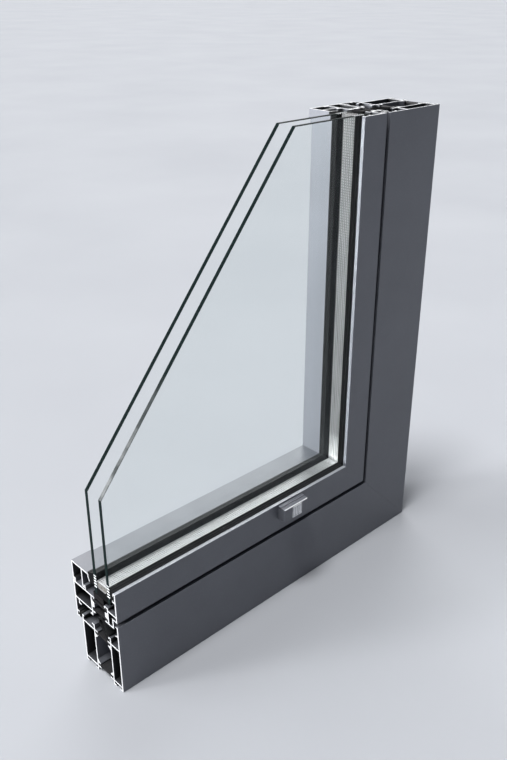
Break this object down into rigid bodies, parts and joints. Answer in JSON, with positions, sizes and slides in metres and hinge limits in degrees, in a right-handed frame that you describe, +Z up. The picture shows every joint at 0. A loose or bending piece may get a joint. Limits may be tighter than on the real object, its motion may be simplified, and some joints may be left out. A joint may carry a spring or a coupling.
{
  "type": "tilt and turn window corner section",
  "caption": "Cut corner of a thermally broken aluminium tilt and turn window: frame, sash, double glazing, gaskets, bottom corner hinge, drive rod and drainage cap.",
  "frame": {"origin": "outer bottom corner of the frame, on the plane of its weather face and its underside", "axes": "+X to the outer side of the corner, so the rail runs along -X; +Y from the weather face to the room; +Z up along the stile"},
  "size_m": [0.419, 0.0945, 0.483],
  "materials": {
    "alu": "satin metallic grey coating",
    "cleat_alu": "mill finish",
    "polyamide": "black glass fibre reinforced polyamide",
    "epdm": "black extruded rubber",
    "glass": "clear float glass",
    "spacer_metal": "bright roll formed, perforated",
    "key_plastic": "moulded nylon",
    "desiccant": "packed molecular sieve beads",
    "butyl": "black butyl",
    "sealant": "grey black two part sealant",
    "foam": "closed cell foam",
    "block_plastic": "moulded packer",
    "hardware_steel": "zinc plated",
    "hinge_paint": "satin grey powder coat",
    "cap_plastic": "satin grey moulded cap",
    "badge_plastic": "satin silver ribbed plate"
  },
  "bodies": {
    "frame": {"frame_rail_outer": "alu", "frame_rail_inner": "alu", "frame_stile_outer": "alu", "frame_stile_inner": "alu", "frame_rail_thermal_strips": "polyamide", "frame_stile_thermal_strips": "polyamide", "frame_cleat_outer": "cleat_alu", "frame_cleat_inner": "cleat_alu", "frame_alignment_angle": "hardware_steel", "central_gasket": "epdm", "lock_keep": "hardware_steel", "keep_screws": "hardware_steel", "pivot_bracket": "hinge_paint", "bracket_screws": "hardware_steel", "pivot_pin": "hardware_steel", "bracket_cover": "hinge_paint"},
    "pivot_link": {"pivot_link": "hinge_paint", "tilt_pin": "hardware_steel"},
    "sash": {"sash_rail_outer": "alu", "sash_rail_inner": "alu", "sash_stile_outer": "alu", "sash_stile_inner": "alu", "sash_rail_thermal_strips": "polyamide", "sash_stile_thermal_strips": "polyamide", "sash_cleat_outer": "cleat_alu", "sash_cleat_inner": "cleat_alu", "sash_alignment_angle": "hardware_steel", "glazing_bead_rail": "alu", "glazing_bead_stile": "alu", "outer_glazing_gasket": "epdm", "inner_glazing_gasket": "epdm", "overlap_gasket": "epdm", "outer_pane": "glass", "inner_pane": "glass", "spacer_rail": "spacer_metal", "spacer_stile": "spacer_metal", "spacer_corner_key": "key_plastic", "desiccant": "desiccant", "butyl_seal": "butyl", "edge_sealant": "sealant", "glazing_blocks": "block_plastic", "rebate_foam": "foam", "drain_cap": "cap_plastic", "drain_cap_badge": "badge_plastic", "hinge_arm": "hinge_paint", "arm_screws": "hardware_steel", "arm_cover": "hinge_paint", "rod_guides": "hardware_steel"},
    "drain_flap": {"drain_flap": "epdm"},
    "drive_rod": {"drive_rod": "hardware_steel", "cam_stud": "hardware_steel"},
    "cam_roller": {"cam_roller": "hardware_steel"}
  },
  "joints": [
    {"name": "turn", "type": "hinge", "parent": "frame", "child": "pivot_link", "pos_m": [-0.041, 0.077, 0.02], "axis": [0, 0, -1], "range_deg": [0, 90]},
    {"name": "tilt", "type": "hinge", "parent": "pivot_link", "child": "sash", "pos_m": [-0.041, 0.077, 0.041], "axis": [-1, 0, 0], "range_deg": [0, 8]},
    {"name": "rod_slide", "type": "slide", "parent": "sash", "child": "drive_rod", "axis": [-1, 0, 0], "range_m": [-0.018, 0.018]},
    {"name": "cam_spin", "type": "hinge", "parent": "drive_rod", "child": "cam_roller", "pos_m": [-0.228, 0.0505, 0.063], "axis": [0, 0, 1], "continuous": true},
    {"name": "flap_swing", "type": "hinge", "parent": "sash", "child": "drain_flap", "pos_m": [-0.201, -0.00195, 0.1087], "axis": [-1, 0, 0], "range_deg": [0, 30]}
  ]
}
